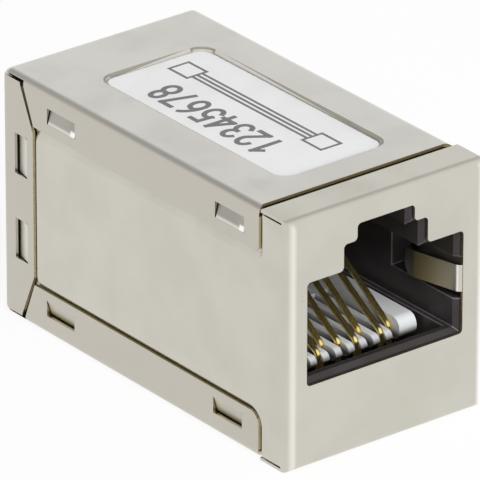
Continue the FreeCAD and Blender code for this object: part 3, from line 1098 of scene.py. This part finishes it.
@dataclass
class Label:
    """Paper label with plain numbers and a straight-through line drawing.

    Lengths are in millimetres. The share is what the widest figure takes of
    a figure's width.
    """

    top: float = 17.2
    sunk: float = 0.004
    proud: float = 0.006
    layer: float = 0.0015
    layers: int = 5
    figure_foot: float = -0.5
    figure_tall: float = 2.2
    figure_wide: float = 1.75
    figure_share: float = 0.6
    figure_pen: float = 0.36
    row_start: float = -5.2
    row_finish: float = 6.3
    plan_foot: float = 2.4
    plan_tall: float = 1.6
    plan_pen: float = 0.2
    plan_start: float = -7.2
    plan_finish: float = 8.5
    plan_box: float = 1.9
    samples: int = 48
    paper: PaperFinish = PaperFinish("label_paper")
    ink: InkFinish = InkFinish("label_ink")

    def ribbon(self, path: np.ndarray, pen: float, over: float) -> tuple[np.ndarray, np.ndarray]:
        """Carries a flat pen section along a path on the paper.

        The section is a rectangle as wide as the pen. Its corners stand at
        the path's point plus or minus half a pen along the path's own side
        direction, a little under and a little over the paper. Open paths
        run on by half a pen at both ends.

        Args:
            path: points on the paper, one row each.
            pen: width of the stroke.
            over: height of the stroke above the paper.

        Returns:
            Vertices and four-cornered faces of a closed solid.
        """
        way = np.gradient(path, axis=0)
        way /= np.linalg.norm(way, axis=1, keepdims=True)
        line = path.copy()
        if not np.allclose(path[0], path[-1]):
            line[0] -= way[0] * pen / 2
            line[-1] += way[-1] * pen / 2
        side = np.column_stack([-way[:, 1], way[:, 0]]) * pen / 2
        count = len(line)
        low = np.full((count, 1), self.top - self.sunk)
        high = np.full((count, 1), self.top + over)
        ring = np.stack([
            np.hstack([line - side, low]),
            np.hstack([line + side, low]),
            np.hstack([line + side, high]),
            np.hstack([line - side, high]),
        ], axis=1)
        fold = ring.shape[1]
        step = np.arange(count - 1)[:, None] * fold
        turn = np.arange(fold)[None, :]
        after = (turn + 1) % fold
        sides = np.stack([step + turn, step + fold + turn, step + fold + after, step + after], axis=2)
        caps = np.vstack([turn, turn[:, ::-1] + (count - 1) * fold])
        return ring.reshape(-1, 3), np.vstack([sides.reshape(-1, 4), caps])

    def solid(self, name: str, paths: list[np.ndarray], pen: float, ink: Material) -> None:
        """Joins several strokes into one printed piece, crossing strokes on layers of their own.

        Args:
            name: the piece's name.
            paths: middle lines on the paper.
            pen: width of the strokes.
            ink: their finish.
        """
        points: list[np.ndarray] = []
        faces: list[np.ndarray] = []
        for i, path in enumerate(paths):
            ring, sides = self.ribbon(path, pen, self.proud + i % self.layers * self.layer)
            faces.append(sides + sum(map(len, points)))
            points.append(ring)
        add_piece(name, np.vstack(points), np.vstack(faces), ink)

    def figures(self) -> list[np.ndarray]:
        """Sets the numbers one to eight in a row along the coupler.

        A figure's own across runs along +Y and its own up along -X.

        Returns:
            Middle lines on the paper.
        """
        row = self.row_finish - self.row_start - self.figure_wide * self.figure_share
        pitch = row / (len(FIGURES) - 1)
        paths = []
        for i, strokes in enumerate(FIGURES.values()):
            for stroke in strokes:
                path = stroke.path(self.samples)
                x = self.figure_foot - path[:, 1] * self.figure_tall
                y = self.row_start + i * pitch + path[:, 0] * self.figure_wide
                paths.append(np.column_stack([x, y]))
        return paths

    def plan(self) -> list[np.ndarray]:
        """Draws two square sockets joined by three straight lines, a quarter of their height apart.

        Returns:
            Middle lines on the paper.
        """
        foot = self.plan_foot
        top = foot - self.plan_tall
        middle = (foot + top) / 2
        gap = self.plan_tall / 4
        near = self.plan_start + self.plan_box
        far = self.plan_finish - self.plan_box
        lines = []
        for start, finish in ((self.plan_start, near), (far, self.plan_finish)):
            square = ((top, start), (top, finish), (foot, finish), (foot, start))
            lines += [Line(a, b) for a, b in zip(square, square[1:] + square[:1])]
        lines += [Line((x, near), (x, far)) for x in (middle - gap, middle, middle + gap)]
        return [line.path(2) for line in lines]

    def dress(self) -> None:
        """Paints the paper and lays the print on it."""
        paint("label", self.paper.material())
        ink = self.ink.material()
        self.solid("label_numbers", self.figures(), self.figure_pen, ink)
        self.solid("label_plan", self.plan(), self.plan_pen, ink)


# Sockets
@dataclass
class Socket:
    """One port: its housing, comb and eight wires. Lengths are in metres, the turn in degrees."""

    end: PortEnd
    wires: int = 8
    joined: float = 1e-6
    edge_round: float = 0.07 * MM
    edge_turn: float = 50.0
    edge_steps: int = 2

    def round_edges(self, housing: bpy.types.Object) -> None:
        """Breaks the housing's sharp moulded edges, which take the second finish, a painted highlight.

        Args:
            housing: the node's object.
        """
        merge = housing.modifiers.new("joined_faces", "WELD")
        merge.merge_threshold = self.joined
        bevel = housing.modifiers.new("moulded_edges", "BEVEL")
        bevel.width = self.edge_round
        bevel.segments = self.edge_steps
        bevel.limit_method = "ANGLE"
        bevel.angle_limit = math.radians(self.edge_turn)
        bevel.material = HousingSlot.EDGE.value
        bevel.harden_normals = True

    def dress(self, black: Moulding, white: Material, gold: Material) -> None:
        """Paints the port's nodes.

        Args:
            black: the housing's finish, and the painted highlight on its edges, in the order of its
                slots.
            white: the comb's finish.
            gold: the wires' finish.
        """
        self.round_edges(paint(f"{self.end.value}_housing", *black))
        paint(f"{self.end.value}_contact_carrier", white)
        for number in range(1, self.wires + 1):
            paint(f"{self.end.value}_contact_{number}", gold)


# Studio
@dataclass(frozen=True)
class Softbox:
    """One square lamp, in metres and watts, that faces the coupler and stays out of reflections."""

    name: str
    place: Point
    size: float
    power: float

    def build(self) -> None:
        """Hangs the lamp."""
        data = bpy.data.lights.new(self.name, "AREA")
        data.shape = "SQUARE"
        data.size = self.size
        data.energy = self.power
        lamp = bpy.data.objects.new(self.name, data)
        lamp.location = self.place
        lamp.rotation_euler = (-Vector(self.place)).to_track_quat("-Z", "Y").to_euler()
        lamp.visible_glossy = False
        bpy.context.scene.collection.objects.link(lamp)


@dataclass
class Studio:
    """White floor, soft light and the camera.

    The eye, the lens and the sensor are in millimetres, other lengths in
    metres. The card's lean, rise and front are shares of a ray's direction.
    """

    eye: Point = (-298.117, -381.585, 239.964)
    right: Point = (0.788498, -0.615035, 0.001512)
    up: Point = (0.264229, 0.340970, 0.902177)
    back: Point = (-0.555386, -0.710965, 0.431364)
    lens: float = 629.992
    sensor: float = 36.0
    nearest: float = 0.01
    farthest: float = 20.0
    floor_half: float = 1.5
    floor_white: Colour = (0.92, 0.92, 0.92)
    sky_white: Colour = (1.0, 1.0, 1.0)
    sky_grey: Colour = (0.38, 0.38, 0.38)
    card_lean: float = 0.06
    card_rise: Span = (0.42, 0.72)
    card_front: Span = (-0.1, 0.6)
    fill_light: float = 0.36
    shadow_share: float = 0.12
    lamps: tuple[Softbox, ...] = (
        Softbox("key", (-0.2, -0.47, 0.48), 0.4, 3.3),
        Softbox("front", (-0.08, -0.6, 0.2), 0.3, 1.9),
        Softbox("side", (0.7, 0.1, 0.3), 0.4, 1.5),
    )

    def camera(self) -> None:
        """Sets the camera at the photograph's own viewpoint."""
        data = bpy.data.cameras.new("view")
        data.lens = self.lens
        data.sensor_width = self.sensor
        data.clip_start = self.nearest
        data.clip_end = self.farthest
        camera = bpy.data.objects.new("view", data)
        turn = Matrix((self.right, self.up, self.back)).transposed().to_4x4()
        camera.matrix_world = Matrix.Translation(Vector(self.eye) * MM) @ turn
        bpy.context.scene.collection.objects.link(camera)
        bpy.context.scene.camera = camera

    def seen(self, graph: Graph) -> NodeSocket:
        """Tells rays that show the background from rays that carry light.

        Args:
            graph: the material's or world's graph.

        Returns:
            One for camera, glossy and transmission rays, else zero.
        """
        path = graph.node("ShaderNodeLightPath").outputs
        rays = graph.math("MAXIMUM", path["Is Camera Ray"], path["Is Glossy Ray"])
        return graph.math("MAXIMUM", rays, path["Is Transmission Ray"])

    def floor(self) -> None:
        """Lays a white floor that keeps a soft share of the shadow."""
        a = self.floor_half
        mesh = bpy.data.meshes.new("floor")
        mesh.from_pydata([(-a, -a, 0.0), (a, -a, 0.0), (a, a, 0.0), (-a, a, 0.0)], [], [(0, 1, 2, 3)])
        floor = bpy.data.objects.new("floor", mesh)
        bpy.context.scene.collection.objects.link(floor)
        material = bpy.data.materials.new("floor")
        material.use_nodes = True
        graph = Graph(material.node_tree)
        matt = graph.node("ShaderNodeBsdfDiffuse")
        graph.fill(matt, {"Color": self.floor_white})
        glow = graph.node("ShaderNodeEmission")
        graph.fill(glow, {"Color": self.sky_white})
        share = graph.math("MULTIPLY", self.seen(graph), 1.0 - self.shadow_share)
        shown = graph.either(share, matt.outputs["BSDF"], glow.outputs["Emission"])
        graph.end("ShaderNodeOutputMaterial", shown)
        mesh.materials.append(material)

    def world(self) -> None:
        """Fills the room with even light, white to the camera, with a grey card in reflections.

        The card's share is the product of two smooth steps. One follows the
        ray's rise less a lean to the right, the other its way to the rear.
        """
        world = bpy.data.worlds.new("room")
        bpy.context.scene.world = world
        world.use_nodes = True
        graph = Graph(world.node_tree)
        x, y, z = graph.split(graph.node("ShaderNodeTexCoord").outputs["Generated"])
        leaning = graph.math("SUBTRACT", z, graph.math("MULTIPLY", x, self.card_lean))
        high = graph.spread(leaning, self.card_rise)
        card = graph.math("MULTIPLY", high, graph.spread(y, self.card_front))
        room = graph.tint(card, self.sky_white, self.sky_grey)
        light = graph.node("ShaderNodeBackground")
        graph.fill(light, {"Color": self.sky_white, "Strength": self.fill_light})
        direct = graph.node("ShaderNodeLightPath").outputs["Is Camera Ray"]
        white = graph.node("ShaderNodeBackground")
        graph.fill(white, {"Color": graph.tint(direct, room, self.sky_white)})
        shown = graph.either(self.seen(graph), light.outputs["Background"], white.outputs["Background"])
        graph.end("ShaderNodeOutputWorld", shown)

    def build(self) -> None:
        """Sets up the view, the floor and the light."""
        self.camera()
        self.floor()
        self.world()
        for lamp in self.lamps:
            lamp.build()
        bpy.context.scene.view_settings.view_transform = "Standard"


def clear_stray() -> None:
    """Removes whatever the start-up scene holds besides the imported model."""
    kept = set(frame["nodes"].values()) | set(frame["bodies"].values())
    for thing in list(bpy.data.objects):
        if thing not in kept:
            bpy.data.objects.remove(thing)
    bpy.context.view_layer.update()


def main() -> None:
    """Builds the coupler's looks and its studio in order."""
    logging.basicConfig(level=logging.INFO, format="%(name)s: %(message)s")
    clear_stray()
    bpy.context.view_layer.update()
    Studio().build()
    Case().dress()
    Label().dress()
    black = PlasticFinish("black_moulding")
    # Lighter edges on the housing: a painted highlight.
    edge_highlight = PlasticFinish(
        "moulded_edge_highlight", pale=(0.14, 0.13, 0.14), dark=(0.1, 0.092, 0.1), gloss=0.5
    )
    white = PlasticFinish(
        "white_moulding",
        pale=(0.76, 0.78, 0.79),
        dark=(0.73, 0.75, 0.76),
        roughness=(0.16, 0.24),
        gloss=0.5,
        # The comb's foot colour is painted shade under its nose.
        foot=(0.08, 0.07, 0.062),
        underside_shade_band=(5.6 * MM, 4.95 * MM),
    )
    moulding = (black.material(), edge_highlight.material())
    comb = white.material()
    gold = WireFinish("gold_wire").material()
    for end in PortEnd:
        Socket(end).dress(moulding, comb, gold)
    paint("circuit_board", BoardFinish("solder_mask").material())
    bpy.context.view_layer.update()


if __name__ == "__main__":
    main()
